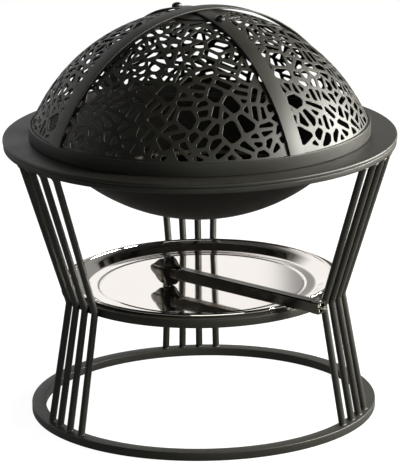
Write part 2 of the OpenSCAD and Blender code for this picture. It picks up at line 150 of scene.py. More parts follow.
def circleSection(radius, sides=24):
    # a circle as a closed outline, without its last point, which is the first
    return arc((0, 0), radius, 0, 2 * np.pi * (1 - 1 / sides), sides)


def ringAt(radius, height, turn):
    # points round Z at one height, whose radius may change with the turn
    return np.stack([radius * np.cos(turn), radius * np.sin(turn), 0 * turn + height], 1)


def tube(path, radius, plane, sides=24, closed=False):
    # a round section carried along a path that lies near one plane, given by its normal
    before, after = np.roll(path, 1, 0), np.roll(path, -1, 0)
    if not closed:
        before[0], after[-1] = path[0], path[-1]
    along = unit(after - before)
    side = unit(np.cross(plane, along))
    return sweep(path, side, np.cross(along, side), circleSection(radius, sides), closed)


def join(*parts):
    # several shapes as one: the faces of each count on from the points before it
    points, faces, start = [], [], 0
    for p, f in parts:
        points.append(p)
        faces += [[start + k for k in face] for face in f]
        start += len(p)
    return np.vstack(points), faces


def fillBetween(flat, sizes):
    # Triangles between a flat outline and its holes, and the edges of all these loops. The loops come first,
    # the outline before its holes; points after them lie between and only shape the triangles.
    starts = np.cumsum([0] + sizes)
    following = np.hstack([start + np.roll(np.arange(size), -1) for start, size in zip(starts, sizes)])
    edges = np.stack([np.arange(len(following)), following], 1)
    made = delaunay_2d_cdt(flat.tolist(), edges.tolist(), [], 1, 1e-6, True)
    triangles = np.array([ids[0] for ids in made[3]])[np.array(made[2])]
    loopOf = np.hstack([np.repeat(np.arange(len(sizes)), sizes), np.full(len(flat) - len(following), -1)])
    loops = loopOf[triangles]
    inHole = (loops == loops[:, :1]).all(1) & (loops[:, 0] > 0)
    return triangles[~inHole], edges


def addPiece(name, shape, material, body, nodes, sharpAngle=35, normals=None):
    # A mesh takes the place of CAD nodes, on their body, with the given material. Edges sharper than the angle
    # stay sharp, unless the points' normals are given.
    points, faces = shape
    mesh = bpy.data.meshes.new(name)
    mesh.from_pydata(points.tolist(), [], faces)
    mesh.polygons.foreach_set("use_smooth", np.ones(len(mesh.polygons), bool))
    mesh.materials.append(material)
    mesh.update()
    if normals is None:
        mesh.set_sharp_from_angle(angle=sharpAngle * degree)
    else:
        mesh.normals_split_custom_set_from_vertices(normals.tolist())
    piece = bpy.data.objects.new(name, mesh)
    bpy.context.scene.collection.objects.link(piece)
    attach(piece, body)
    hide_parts(*nodes)


# materials

def addNode(tree, kind, values={}, links={}, **settings):
    # one node, with its settings, its sockets' values and what feeds its sockets
    node = tree.nodes.new(kind)
    for key, value in settings.items():
        setattr(node, key, value)
    for socket, value in values.items():
        node.inputs[socket].default_value = value
    for socket, source in links.items():
        tree.links.new(source, node.inputs[socket])
    return node


def paintedDishShade(tree, place, look, tint, dull):
    # within a distance of the Z axis the surface turns to a darker colour, roughness and shine: the darker colour
    # is painted shade in the bowl's dish, inside and below
    flat = addNode(tree, "ShaderNodeVectorMath", {1: (1, 1, 0)}, {0: place}, operation="MULTIPLY")
    away = addNode(tree, "ShaderNodeVectorMath", {}, {0: flat.outputs[0]}, operation="LENGTH")
    share = addNode(tree, "ShaderNodeMapRange", {"From Min": look["dishRadius"] - look["dishFade"],
                    "From Max": look["dishRadius"], "To Min": 1.0, "To Max": 0.0}, {"Value": away.outputs["Value"]},
                    interpolation_type="SMOOTHSTEP")
    tint = addNode(tree, "ShaderNodeMix", {7: hexColour(look["paintedShade"])}, {0: share.outputs["Result"], 6: tint},
                   data_type="RGBA").outputs[2]
    dull = addNode(tree, "ShaderNodeMix", {3: look["dishRough"]}, {0: share.outputs["Result"], 2: dull},
                   data_type="FLOAT").outputs[0]
    shine = addNode(tree, "ShaderNodeMix", {2: look["shine"], 3: look["dishShine"]}, {0: share.outputs["Result"]},
                    data_type="FLOAT").outputs[0]
    return {"Base Color": tint, "Roughness": dull, "Specular IOR Level": shine}


def surfaceMaterial(name, look):
    # Every finish here is one shader with two noises: wide clouds that shift colour and roughness, and a
    # fine grain that lifts the surface. Mix sockets 6 and 7 are its two colours. The clouds' values lie
    # mostly between 0.3 and 0.7, which is where the roughness runs from its first value to its second.
    material = bpy.data.materials.new(name)
    material.use_nodes = True
    tree = material.node_tree
    tree.nodes.clear()
    place = addNode(tree, "ShaderNodeTexCoord").outputs["Object"]
    clouds = addNode(tree, "ShaderNodeTexNoise", {"Scale": 1 / look["cloudSize"], "Detail": 4.0}, {"Vector": place})
    grain = addNode(tree, "ShaderNodeTexNoise", {"Scale": 1 / look["grainSize"], "Detail": 2.0}, {"Vector": place})
    colour = addNode(tree, "ShaderNodeMix", {6: hexColour(look["dark"]), 7: hexColour(look["light"])},
                     {0: clouds.outputs["Fac"]}, data_type="RGBA")
    rough = addNode(tree, "ShaderNodeMapRange", {"From Min": 0.3, "From Max": 0.7, "To Min": look["rough"][0],
                    "To Max": look["rough"][1]}, {"Value": clouds.outputs["Fac"]})
    bump = addNode(tree, "ShaderNodeBump", {"Strength": look["bump"], "Distance": look["bumpHeight"]},
                   {"Height": grain.outputs["Fac"]})
    feeds = {"Base Color": colour.outputs[2], "Roughness": rough.outputs["Result"]}
    # the bowl's dish gets painted shade: darker inside and below
    if "paintedShade" in look:
        feeds = paintedDishShade(tree, place, look, *feeds.values())
    shader = addNode(tree, "ShaderNodeBsdfPrincipled",
                     {"Metallic": look["metallic"], "Specular IOR Level": look.get("shine", 0.5)},
                     {**feeds, "Normal": bump.outputs["Normal"]})
    addNode(tree, "ShaderNodeOutputMaterial", {}, {"Surface": shader.outputs["BSDF"]})
    return material


# Silicone stove paint, sprayed on steel: satin, near black, with a fine dry-spray grain. The grain is
# really about 0.3 mm and is drawn coarser, so that it shows.
paint = dict(dark="#171612", light="#1f1e19", rough=(0.44, 0.52), metallic=0.0, cloudSize=60 * mm,
             grainSize=1.1 * mm, bump=0.25, bumpHeight=0.12 * mm, shine=0.36)
stovePaint = surfaceMaterial("stovePaint", paint)
# The same paint on the bowl, whose dish is dulled and darkened inside and below; the darker colour is painted
# shade.
dishShadedPaint = surfaceMaterial("dishShadedPaint", dict(
    paint, paintedShade="#0c0b08", dishRough=0.62, dishShine=0.1, dishRadius=222 * mm, dishFade=4 * mm))
# Stainless steel, mirror polished: warm silver reflections, softened a little by handling.
polishedStainless = surfaceMaterial("polishedStainless", dict(
    dark="#f2ebe4", light="#f8f2ec", rough=(0.045, 0.075), metallic=1.0, cloudSize=90 * mm,
    grainSize=9 * mm, bump=0.03, bumpHeight=0.05 * mm))
# Bare mild steel rod after heating: dull brown-black scale, rough to the touch.
scaledSteel = surfaceMaterial("scaledSteel", dict(
    dark="#2b2724", light="#4a423a", rough=(0.55, 0.75), metallic=0.4, cloudSize=14 * mm,
    grainSize=1.5 * mm, bump=0.5, bumpHeight=0.3 * mm))
# Stainless steel sheet, pressed and tumbled: a dark, slightly soft mirror.
tumbledStainless = surfaceMaterial("tumbledStainless", dict(
    dark="#54514b", light="#625f59", rough=(0.16, 0.22), metallic=1.0, cloudSize=18 * mm,
    grainSize=1.2 * mm, bump=0.08, bumpHeight=0.05 * mm))
# Black-oxide steel: an oily black with a soft sheen.
blackOxide = surfaceMaterial("blackOxide", dict(
    dark="#101010", light="#191918", rough=(0.28, 0.36), metallic=0.3, cloudSize=6 * mm,
    grainSize=0.8 * mm, bump=0.15, bumpHeight=0.05 * mm))
# Plain bright wire and bar: pale grey with fine drawing marks.
brightSteel = surfaceMaterial("brightSteel", dict(
    dark="#a19e98", light="#b5b2ac", rough=(0.22, 0.32), metallic=1.0, cloudSize=5 * mm,
    grainSize=0.7 * mm, bump=0.1, bumpHeight=0.04 * mm))
print("materials made")


# stand rings

rings = dict(width=dict(base_ring=20 * mm, middle_ring=22 * mm, top_ring=22 * mm), edge=1.3 * mm)


def barRing(node, width, edge):
    # a ring of flat bar: a rectangle with rounded edges, turned about Z
    low, high = nodeBox(node)
    inside = high[0] - width
    square = np.array([[inside, low[2]], [high[0], low[2]], [high[0], high[2]], [inside, high[2]]])
    return lathe(fillet(square, edge, 5), closed=True)


for node, title in (("base_ring", "baseRing"), ("middle_ring", "middleRing"), ("top_ring", "topRing")):
    addPiece(title, barRing(node, rings["width"][node], rings["edge"]), stovePaint, "stand", [node])
print("rings made")


# stand rods

# groups: each group's angle in degrees; step: the angle between its rods
rods = dict(diameter=10 * mm, footRadius=238 * mm, headInset=5.8 * mm, bendRoom=1.05, step=6.1 * degree,
            groups=dict(back=90, left=210, right=330), perGroup=4, bend=12 * mm, sunk=4 * mm,
            bead=2.2 * mm, ripple=0.35 * mm, rippleWaves=(9, 4))


def rodOutline():
    # foot, waist and head as radius and height; the waist lies against the middle ring's outside
    top, middle = nodeBox("top_ring"), nodeBox("middle_ring")
    waist = [middle[1][0] + rods["bendRoom"] * rods["diameter"] / 2, (middle[0][2] + middle[1][2]) / 2]
    return np.array([[rods["footRadius"], nodeBox("base_ring")[1][2]], waist,
                     [top[1][0] - rods["headInset"], top[0][2]]])


def weldBead(centre, lean, facing):
    # A fillet of weld metal round a rod: a hollow quarter-round profile turned about the rod's foot,
    # whose radius ripples as a hand-laid bead does: two waves of the turn, multiplied.
    reach, rod = rods["bead"], rods["diameter"] / 2
    fine, coarse = rods["rippleWaves"]

    def ripple(turn):
        return 1 + rods["ripple"] / rod * np.sin(fine * turn) * np.cos(coarse * turn + 1)

    hollow = arc((rod + reach, reach), reach, -np.pi / 2, -np.pi, 7)
    profile = np.vstack([[[rod - reach, -reach / 2], [rod + reach, -reach / 2]], hollow, [[rod - reach, reach]]])
    points, faces = lathe(profile, 36, True, ripple)
    points[:, 0] += points[:, 2] * lean
    points[:, 2] *= facing
    if facing < 0:
        faces = [face[::-1] for face in faces]
    return points + [centre[0], 0, centre[1]], faces


def rodShape():
    # two straight lengths with a bend at the waist, whose ends are sunk into the rings they are welded to
    foot, waist, head = rodOutline()
    toFoot, toHead = unit(foot - waist), unit(head - waist)
    line = np.array([foot + toFoot * rods["sunk"], waist, head + toHead * rods["sunk"]])
    line = fillet(line, rods["bend"], 9, closed=False)
    path = np.stack([line[:, 0], 0 * line[:, 0], line[:, 1]], 1)
    rod = tube(path, rods["diameter"] / 2, np.array([0, 1, 0]), 28)
    return join(rod, weldBead(foot, -toFoot[0] / -toFoot[1], 1), weldBead(head, toHead[0] / toHead[1], -1))


rodPoints, rodFaces = rodShape()
for group, angle in rods["groups"].items():
    for i in range(rods["perGroup"]):
        turn = angle * degree + (i - (rods["perGroup"] - 1) / 2) * rods["step"]
        addPiece(f"{group}Rod{i + 1}", (turnAboutZ(rodPoints, turn), rodFaces), stovePaint, "stand",
                 [f"rod_{group}_{i + 1}"])
print("rods made")


# bowl

# bends: the radii in mm at the flange's corners, from under the mouth, round the lip, to the mouth
bowl = dict(ball=270 * mm, sheet=2.5 * mm, mouth=219 * mm, lip=3.5 * mm, lipHeight=5 * mm,
            bends=(5, 0.8, 0.8, 1, 2.2, 5), steps=60)


def bowlShape():
    # a ball-shaped dish with a flat flange and a short lip turned down at its edge
    low, high = nodeBox("bowl", "bowl_flange")
    rimR, rimZ, t = high[0], high[2], bowl["sheet"]
    centre = low[2] + bowl["ball"] + t
    under = rimZ - t
    outerEnd = np.arccos((centre - under) / (bowl["ball"] + t))
    innerEnd = np.arcsin(bowl["mouth"] / bowl["ball"])
    outer = arc((0, centre), bowl["ball"] + t, -np.pi / 2, -np.pi / 2 + outerEnd, bowl["steps"])
    inner = arc((0, centre), bowl["ball"], -np.pi / 2 + innerEnd, -np.pi / 2, bowl["steps"])
    flange = np.array([[rimR - bowl["lip"], under], [rimR - bowl["lip"], rimZ - bowl["lipHeight"]],
                       [rimR, rimZ - bowl["lipHeight"]], [rimR, rimZ], [bowl["mouth"], rimZ]])
    profile = np.vstack([outer, flange, inner])
    profile[[0, -1], 0] = 0
    radius = np.zeros(len(profile))
    firstBend = bowl["steps"] - 1
    radius[firstBend:firstBend + len(bowl["bends"])] = np.array(bowl["bends"]) * mm
    return lathe(fillet(profile, radius, 7, closed=False), 320)


addPiece("fireBowl", bowlShape(), dishShadedPaint, "bowl", ["bowl", "bowl_flange"])
print("bowl made")


# grate

grate = dict(ring=146 * mm, ringRod=8 * mm, bar=6 * mm, pitch=28 * mm, steps=160, barSteps=12)


def grateShape():
    # a ring of round rod, with parallel bars welded across it
    low, high = nodeBox("fire_grate")
    height, up = (low[2] + high[2]) / 2, np.array([0, 0, 1.0])
    circle = circleSection(grate["ring"], grate["steps"])
    parts = [tube(np.hstack([circle, 0 * circle[:, :1] + height]), grate["ringRod"] / 2, up, 16, True)]
    bars = int(grate["ring"] // grate["pitch"])
    for x in np.arange(-bars, bars + 1) * grate["pitch"]:
        half = np.sqrt(grate["ring"] ** 2 - x ** 2)
        y = np.linspace(-half, half, grate["barSteps"])
        parts.append(tube(np.stack([x + 0 * y, y, height + 0 * y], 1), grate["bar"] / 2, up, 14))
    return join(*parts)


addPiece("grate", grateShape(), scaledSteel, "grate", ["fire_grate"])
print("grate made")


# tray

tray = dict(flat=165 * mm, wall=178.5 * mm, rim=188.5 * mm, roll=2.5 * mm, sheet=1.2 * mm, floorZ=183 * mm,
            wallZ=190.9 * mm, rollZ=192.8 * mm, shelfEnd=(185.9 * mm, 193.3 * mm), bead=147 * mm,
            beadWidth=6 * mm, beadDepth=1 * mm, footBend=6 * mm, topBend=30 * mm, beside=0.5 * mm,
            flatEnd=6.5 * mm, rollEnd=0.93 * np.pi)


def trayShape():
    # The upper side runs from a flat, past a bead pressed downwards, up a leaning wall to a rolled rim; the
    # lower side follows it one sheet below. The bead is one dip of a raised cosine.
    t = tray["sheet"]
    # points close to both ends of each flat part keep it a true mirror
    near, far = tray["bead"] - tray["beadWidth"] / 2, tray["bead"] + tray["beadWidth"] / 2
    r = np.hstack([np.linspace(0, near - tray["beside"], 12), np.linspace(near, far, 25),
                   far + tray["beside"], tray["flat"] - tray["flatEnd"]])
    phase = np.clip((r - tray["bead"]) / tray["beadWidth"], -0.5, 0.5)
    dip = tray["beadDepth"] * (1 + np.cos(2 * np.pi * phase)) / 2
    flat = np.stack([r, tray["floorZ"] - dip], 1)
    upper = np.vstack([flat, [[tray["flat"], tray["floorZ"]], [tray["wall"], tray["wallZ"]]]])
    lower = upper - [0, t]
    radius = np.zeros(len(upper))
    radius[-2:] = tray["footBend"], tray["topBend"]
    shelfEnd = np.array([tray["shelfEnd"]])
    outward = fillet(np.vstack([lower, shelfEnd - [0, t], [[tray["rim"], tray["rollZ"] - tray["roll"]]]]),
                     np.hstack([radius, 0, 0]), 9, closed=False)
    inward = fillet(np.vstack([upper, shelfEnd]), np.hstack([radius, 0]), 9, closed=False)[::-1]
    roll = arc((tray["rim"], tray["rollZ"]), tray["roll"], -0.5 * np.pi, tray["rollEnd"], 26)
    profile = np.vstack([outward, roll, inward])
    profile[[0, -1], 0] = 0
    return lathe(profile, 360)


addPiece("ashTray", trayShape(), polishedStainless, "tray", ["tray", "tray_rim"], 50)
print("tray made")


# guard: the pierced sheet

# cells: how many the spiral has; whole: the share of them that isn't split; stray: how far one moves, in
# cell widths; low: where the spiral ends, as a share of the radius; neighbours: how far off, in cell widths,
# another cell still counts; middle: outwards and upwards, towards a panel's middle
guard = dict(ball=259 * mm, sheet=2 * mm, bandSheet=4 * mm, bandEdge=1.1 * mm, clearance=0.05 * mm,
             seam=0.6 * mm, tip=22 * mm, turn=29 * degree, cells=410, whole=0.12, web=5.75 * mm,
             slot=9 * mm, stray=0.3, low=0.33, neighbours=2.6, smallest=36 * mm * mm, strapMargin=9 * mm,
             crownMargin=44 * mm, bandMargin=4 * mm, shortSide=1.2 * mm, cornerShare=0.24, bevel=0.8 * mm,
             bevelStep=0.29, sideSteps=48, bandSteps=64, crownSteps=12, middle=(0.7, 0.72))
goldenAngle = 137.508 * degree
bandBox = nodeBox("guard_band")
sheetZ = nodeBox("guard_panel_1")[0][2]
ballR = guard["ball"]
ballZ = sheetZ - np.sqrt(ballR ** 2 - (bandBox[1][0] - guard["bandSheet"] - guard["clearance"]) ** 2)
cellWidth = np.sqrt(2 * np.pi * ballR ** 2 * (1 - guard["low"]) / guard["cells"])


def chance(i, k):
    # a number between 0 and 1 that depends only on i and k, as in the solids
    s = 1000 * np.sin((137.31 * i + 71.7 * k) * degree)
    return s - np.floor(s)


def cellFrames():
    # Cells follow a golden-angle spiral over the ball, each moved a little. A cell's frame is two axes
    # along the sheet and one outwards.
    i = np.arange(guard["cells"])
    wobble = guard["stray"] * 2 * cellWidth / ballR
    down = np.arccos(1 - (1 - guard["low"]) * (i + 0.5) / guard["cells"]) + wobble * (chance(i, 1) - 0.5)
    turn = goldenAngle * i + wobble * (chance(i, 2) - 0.5) / np.maximum(np.sin(down), 0.1)
    cd, sd, ct, st = np.cos(down), np.sin(down), np.cos(turn), np.sin(turn)
    return np.stack([cd * ct, cd * st, -sd], 1), np.stack([-st, ct, 0 * st], 1), np.stack([sd * ct, sd * st, cd], 1)


axisA, axisB, outward = cellFrames()


def clipOutline(points, normal, limit):
    # the part of a convex outline where normal times point is limit or more
    f = points @ normal - limit
    fNext = np.roll(f, -1)
    crosses = (f >= 0) != (fNext >= 0)
    share = np.where(crosses, f / np.where(crosses, f - fNext, 1), 0)[:, None]
    cut = points + (np.roll(points, -1, 0) - points) * share
    return np.stack([points, cut], 1).reshape(-1, 2)[np.stack([f >= 0, crosses], 1).ravel()]


def outlineArea(points):
    # half the sum of each side's cross product
    x, y = points.T
    return 0.5 * np.sum(x * np.roll(y, -1) - y * np.roll(x, -1))


def cellOutline(i, walls):
    # the cell's share of the sheet, half a web inside its borders with its neighbours and its panel's walls
    near = np.flatnonzero(outward @ outward[i] > np.cos(guard["neighbours"] * cellWidth / ballR))
    cuts = [(outward[i] - outward[j], 0, guard["web"] / 2) for j in near if j != i]
    w = 2 * cellWidth
    points = np.array([[-w, -w], [w, -w], [w, w], [-w, w]])
    for normal, limit, margin in cuts + [(n, d, 0) for n, d in walls]:
        flat = np.array([normal @ axisA[i], normal @ axisB[i]])
        size = np.linalg.norm(flat)
        points = clipOutline(points, flat / size, (limit - ballR * (normal @ outward[i])) / size + margin)
        if len(points) < 3:
            break
    return points


def cellSlots(i, walls):
    # a cell stays whole or is split into parallel slots, in a direction of its own
    points = cellOutline(i, walls)
    if len(points) < 3:
        return []
    angle = np.pi * chance(i, 3)
    across = np.array([np.cos(angle), np.sin(angle)])
    reach = points @ across
    span = np.ptp(reach) + guard["web"]
    count = max(1, int(np.floor(span / (guard["slot"] + guard["web"]) + 0.5)))
    count = 1 if chance(i, 4) < guard["whole"] else count
    pitch = span / count
    found = []
    for k in range(count):
        start = reach.min() + k * pitch
        slot = clipOutline(points, across, start)
        slot = clipOutline(slot, -across, guard["web"] - start - pitch) if len(slot) > 2 else slot
        if len(slot) > 2 and outlineArea(slot) > guard["smallest"]:
            found.append(slot)
    return found


def roundedSlot(slot):
    # Short sides are dropped first, so that every corner has room for its round. The round grows with
    # the opening: a share of the side of a square of the same area.
    side = np.linalg.norm(np.roll(slot, -1, 0) - slot, axis=1)
    slot = slot[side > guard["shortSide"]]
    return fillet(slot, guard["cornerShare"] * np.sqrt(outlineArea(slot)), 6)


def onBall(flat, cell, radius):
    # a point of a cell's plane, carried straight out to the ball of that radius
    rise = np.sqrt(radius ** 2 - (flat ** 2).sum(1))[:, None]
    return flat[:, :1] * axisA[cell] + flat[:, 1:] * axisB[cell] + rise * outward[cell]


def panelOutline(turn, radius):
    # the panel's border on the ball of that radius: first side, band arc, second side and crown arc
    tip, base = np.arcsin(guard["tip"] / radius), np.arccos((sheetZ - ballZ) / radius)
    down = np.linspace(tip, base, guard["sideSteps"])
    aside = np.arcsin(guard["seam"] / 2 / (radius * np.sin(down)))
    crown = np.linspace(np.pi / 2 - aside[0], aside[0], guard["crownSteps"])
    band = np.linspace(aside[-1], np.pi / 2 - aside[-1], guard["bandSteps"])
    polar = np.hstack([down[1:-1], 0 * band + base, down[-2:0:-1], 0 * crown + tip])
    azimuth = np.hstack([aside[1:-1], band, np.pi / 2 - aside[-2:0:-1], crown]) + turn
    return radius * np.stack([np.sin(polar) * np.cos(azimuth), np.sin(polar) * np.sin(azimuth), np.cos(polar)], 1)


def panelSlots(sides):
    # every rounded slot of one panel, flat on its cell's plane, and the cell of each point
    flats, cells = [], []
    for i in np.flatnonzero(((outward @ sides.T) * ballR > -cellWidth).all(1)):
        horizontal = unit(np.array([outward[i][0], outward[i][1], 0]))
        walls = [(side, guard["strapMargin"]) for side in sides]
        walls += [(horizontal, guard["crownMargin"]), (np.array([0, 0, 1.0]), sheetZ - ballZ + guard["bandMargin"])]
        for slot in cellSlots(i, walls):
            flats.append(roundedSlot(slot))
            cells.append(np.full(len(flats[-1]), i))
    return flats, np.hstack(cells)


# how many points, how far below the top of a ball of radius one, and how far from the panel's sides
crownFill = dict(count=26, drop=(0.0045, 0.012), margin=0.2)


def crownPoints(turn):
    # a spiral of points between the crown's arc and its first slots keeps that plain area round
    count, margin = crownFill["count"], crownFill["margin"]
    height = 1 - np.linspace(*crownFill["drop"], count)
    spiral = turn + (goldenAngle * np.arange(count)) % (np.pi / 2 - 2 * margin) + margin
    return ringAt(np.sqrt(1 - height ** 2), height, spiral)


def layFlat(face, sides):
    # a panel's points seen from its middle, true to area, in thousandths of the radius
    out, up = guard["middle"]
    middle = unit(np.array([*(sides.sum(0)[:2] / np.sqrt(2) * out), up]))
    flatA = unit(np.cross([0, 0, 1.0], middle))
    flatB = np.cross(middle, flatA)
    direction = unit(face)
    scale = 1000 * np.sqrt(2 / (1 + direction @ middle))[:, None]
    return np.stack([direction @ flatA, direction @ flatB], 1) * scale


def panelShape(k):
    # An outer and an inner face, filled between their border and their slots, with a wall round the border
    # and five rings down every slot: two of bevel, a straight one and two of bevel.
    turn = guard["turn"] + k * np.pi / 2
    sides = np.array([[np.cos(turn), np.sin(turn), 0], [-np.sin(turn), np.cos(turn), 0]])
    flats, cell = panelSlots(sides)
    # each slot's direction into the metal stands square to its own outline
    along = [unit(np.roll(flat, -1, 0) - np.roll(flat, 1, 0)) for flat in flats]
    into = np.vstack([np.stack([a[:, 1], -a[:, 0]], 1) for a in along])
    sizes = [len(flat) for flat in flats]
    flat = np.vstack(flats)
    inner, b = ballR - guard["sheet"], guard["bevel"]
    step = guard["bevelStep"] * b
    cuts = [(ballR, b), (ballR - step, step), (ballR - b, 0), (inner + b, 0), (inner + step, step), (inner, b)]
    slotRings = [onBall(flat + into * offset, cell, radius) for radius, offset in cuts]
    outline, outlineIn, fill = panelOutline(turn, ballR), panelOutline(turn, inner), crownPoints(turn)
    face = np.vstack([outline, slotRings[0], fill * ballR])
    faceIn = np.vstack([outlineIn, slotRings[-1], fill * inner])
    triangles, edges = fillBetween(layFlat(face, sides), [len(outline)] + sizes)
    # points: outer face, inner face, then the four rings between them round every slot
    n, m, border = len(face), len(flat), len(outline)
    points = np.vstack([face, faceIn, *slotRings[1:-1]])
    ringStart = [border, 2 * n, 2 * n + m, 2 * n + 2 * m, 2 * n + 3 * m, n + border]
    here, there = edges[border:, 0] - border, edges[border:, 1] - border
    faces = triangles.tolist() + (triangles[:, ::-1] + n).tolist()
    for a, c in zip(ringStart, ringStart[1:]):
        faces += np.stack([here + a, there + a, there + c, here + c], 1).tolist()
    rim, rimNext = edges[:border].T
    faces += np.stack([rim, rim + n, rimNext + n, rimNext], 1).tolist()
    hollow = -(into[:, :1] * axisA[cell] + into[:, 1:] * axisB[cell])
    radial = unit(slotRings[0])
    normals = np.vstack([unit(face), -unit(faceIn), unit(radial + hollow), hollow, hollow, unit(hollow - radial)])
    return (points + [0, 0, ballZ], faces), normals, len(sizes)


for k in range(4):
    shape, normals, count = panelShape(k)
    addPiece(f"piercedPanel{k + 1}", shape, stovePaint, "guard", [f"guard_panel_{k + 1}"],
             normals=normals)
    print("panel", k + 1, "with", count, "slots,", len(shape[1]), "faces")


# guard: band, straps, crown

straps = dict(width=24 * mm, sheet=2.5 * mm, edge=0.9 * mm, footIn=0.2 * mm, steps=121)


def strapArc(node):
    # centre height and inner radius of the arc through the strap's foot and its top
    low, high = nodeBox(node)
    apex, foot = high[2] - straps["sheet"], low[2]
    footR = bandBox[1][0] - guard["bandSheet"] + straps["footIn"]
    drop = apex - foot
    radius = (footR ** 2 + drop ** 2) / (2 * drop)
    return apex - radius, radius, foot


def strapShape(node, turn):
    # a flat bar bent to one arc: each line of its outline ends where it meets the band's top
    centre, radius, foot = strapArc(node)
    w, t, steps = straps["width"] / 2, straps["sheet"], straps["steps"]
    section = fillet(np.array([[-w, 0], [w, 0], [w, t], [-w, t]]), straps["edge"], 5)
    around, aside = radius + section[:, 1], section[:, 0]
    along = np.linspace(-1, 1, steps)[:, None] * np.arccos((foot - centre) / around)
    points = np.stack([around * np.sin(along), -aside + 0 * along, centre + around * np.cos(along)], 2)
    count = len(section)
    faces = gridFaces(steps, count).tolist()
    faces += [list(range(count))[::-1], [(steps - 1) * count + k for k in range(count)]]
    return turnAboutZ(points.reshape(-1, 3), turn), faces


disc = dict(sheet=1.2 * mm, edge=0.5 * mm, steps=24)


def crownShape():
    # a plain round cap of sheet, bent to the ball
    high, t, n = nodeBox("crown_disc")[1], disc["sheet"], disc["steps"]
    outer = high[2] - ballZ
    reach = np.arcsin(high[0] / outer)
    lower = arc((0, ballZ), outer - t, np.pi / 2, np.pi / 2 - reach, n)
    upper = arc((0, ballZ), outer, np.pi / 2 - reach, np.pi / 2, n)
    profile = np.vstack([lower, upper])
    profile[[0, -1], 0] = 0
    sizes = np.zeros(2 * n)
    sizes[[n - 1, n]] = disc["edge"]
    return lathe(fillet(profile, sizes, 4, closed=False), 120)


# domeInner: where the dome ends, as a share of the socket's half width; turned: how far past their flats
# the nuts' corners are left at the ends
bolts = dict(reach=54 * mm, thread=6 * mm, head=14 * mm, height=6.5 * mm, dome=3.5 * mm, seat=0.1 * mm,
             endEdge=0.6 * mm, underEdge=0.5 * mm, topEdge=0.9 * mm, domeInner=1.16, socket=5 * mm,
             socketStep=0.2 * mm, socketDepth=2.6 * mm, drillPoint=0.5 * mm, shown=2 * mm, around=60)
nuts = dict(height=5 * mm, room=0.1 * mm, across=10.4 * mm, boreRoom=0.1 * mm, turned=1.02,
            chamfer=0.6 * mm, around=72)
boltTilt = np.arcsin(bolts["reach"] / (nodeBox("crown_disc")[1][2] - ballZ))
nutLow = ballR - guard["sheet"] - nuts["height"] - nuts["room"]


def hexRadius(turn):
    # distance from the centre of a hexagon to its side, for a hexagon one unit from centre to flat
    return 1 / np.cos((turn + np.pi / 6) % (np.pi / 3) - np.pi / 6)


def boltShape():
    # a domed head with a hexagon socket, on a plain shank; the dome is part of a ball
    centre, radius, _ = strapArc("strap_under")
    rise = centre - ballZ
    seatAt = rise * np.cos(boltTilt) + bolts["seat"]
    seatAt += np.sqrt((radius + straps["sheet"]) ** 2 - (rise * np.sin(boltTilt)) ** 2)
    r, shank, socket, around = bolts["head"] / 2, bolts["thread"] / 2, bolts["socket"] / 2, bolts["around"]
    cap = (r ** 2 + bolts["dome"] ** 2) / (2 * bolts["dome"])
    top, end = seatAt + bolts["height"], nutLow - bolts["shown"]
    outer, inner = np.arcsin(r / cap), np.arcsin(socket * bolts["domeInner"] / cap)
    dome = arc((0, top - cap), cap, np.pi / 2 - outer, np.pi / 2 - inner, 14)
    body = np.vstack([[[0, end], [shank, end], [shank, seatAt], [r, seatAt]], dome])
    sizes = np.zeros(len(body))
    sizes[[1, 3, 4]] = bolts["endEdge"], bolts["underEdge"], bolts["topEdge"]
    body = fillet(body, sizes, 5, closed=False)
    bottom = top - bolts["socketDepth"]
    well = np.array([[socket, body[-1, 1] - bolts["socketStep"]], [socket, bottom],
                     [0, bottom - bolts["drillPoint"]]])
    turn = np.arange(around) * 2 * np.pi / around
    rim = np.vstack([ringAt(body[-1, 0], body[-1, 1], turn), ringAt(socket * hexRadius(turn), well[0, 1], turn)])
    return join(lathe(body, around), (rim, gridFaces(2, around).tolist()), lathe(well, around, False, hexRadius))


def nutShape():
    # a hexagon nut with its corners turned off at both ends, round a bore
    flat, bore, around = nuts["across"] / 2, bolts["thread"] / 2 + nuts["boreRoom"], nuts["around"]
    turn = np.arange(around) * 2 * np.pi / around
    corner = flat * hexRadius(turn)
    end = np.minimum(corner, flat * nuts["turned"])
    top, c = nutLow + nuts["height"], nuts["chamfer"]
    rows = [(bore, nutLow), (end, nutLow), (corner, nutLow + c), (corner, top - c), (end, top), (bore, top)]
    points = np.vstack([ringAt(radius, height, turn) for radius, height in rows])
    return points, gridFaces(len(rows), around, closedRows=True).tolist()


def atBolts(shape):
    # both copies stand square to the ball, one each side of the crown
    points, faces = shape
    copies = []
    for tilt in (-boltTilt, boltTilt):
        leaned = leanAboutY(points, tilt)
        copies.append((turnAboutZ(leaned, guard["turn"] + np.pi / 2) + [0, 0, ballZ], faces))
    return join(*copies)


for title, shape, node in (
        ("guardBand", barRing("guard_band", guard["bandSheet"], guard["bandEdge"]), "guard_band"),
        ("underStrap", strapShape("strap_under", guard["turn"] + np.pi / 2), "strap_under"),
        ("overStrap", strapShape("strap_over", guard["turn"]), "strap_over"),
        ("crownDisc", crownShape(), "crown_disc")):
    addPiece(title, shape, stovePaint, "guard", [node])
addPiece("crownBolts", atBolts(boltShape()), blackOxide, "guard", ["crown_bolts"], 30)
addPiece("crownNuts", atBolts(nutShape()), blackOxide, "guard", ["crown_nuts"], 25)
print("guard made")


# tongs

